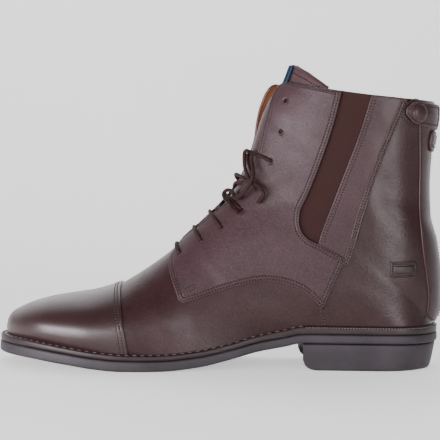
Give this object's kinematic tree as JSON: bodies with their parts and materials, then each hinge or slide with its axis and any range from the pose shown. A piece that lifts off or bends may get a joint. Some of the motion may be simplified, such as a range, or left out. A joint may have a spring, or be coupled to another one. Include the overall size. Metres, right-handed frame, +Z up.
{
  "type": "jodhpur boot",
  "caption": "Left lace-up jodhpur ankle boot with toe cap, open facings, elastic side gores, rear zip under a snap strap, stitched welt and low block heel.",
  "frame": {"origin": "on the floor under the middle of the heel's tread", "axes": "+Z up, -X towards the toe, -Y to the lateral side of this left boot"},
  "size_m": [0.2983, 0.1012, 0.2026],
  "materials": {
    "rubber": "matt",
    "welt_brown": "satin",
    "lining": "matt",
    "leather_brown": "satin",
    "leather_trim": "satin",
    "elastic": "matt",
    "label_cloth": "matt",
    "zip_metal": "satin",
    "cord": "matt"
  },
  "bodies": {
    "root": {"outsole": "rubber", "heel": "rubber", "welt": "welt_brown", "insole": "lining", "upper": "leather_brown", "toe_cap": "leather_brown", "quarter_lateral": "leather_brown", "quarter_medial": "leather_brown", "gore_lateral": "elastic", "gore_medial": "elastic", "seam_strip_lateral": "leather_trim", "seam_strip_medial": "leather_trim", "back_strip_lateral": "leather_trim", "back_strip_medial": "leather_trim", "zip": "label_cloth", "zip_slider": "zip_metal", "zip_pull": "leather_trim", "strap": "leather_trim", "snap_cap": "leather_trim", "heel_tab": "leather_trim", "tongue": "leather_brown", "tongue_tab": "label_cloth", "lace_bar_1": "cord", "lace_bar_2": "cord", "lace_bar_3": "cord", "lace_bar_4": "cord", "lace_bar_5": "cord", "lace_bar_6": "cord", "lace_end": "cord", "lace_loop": "cord"}
  },
  "joints": []
}
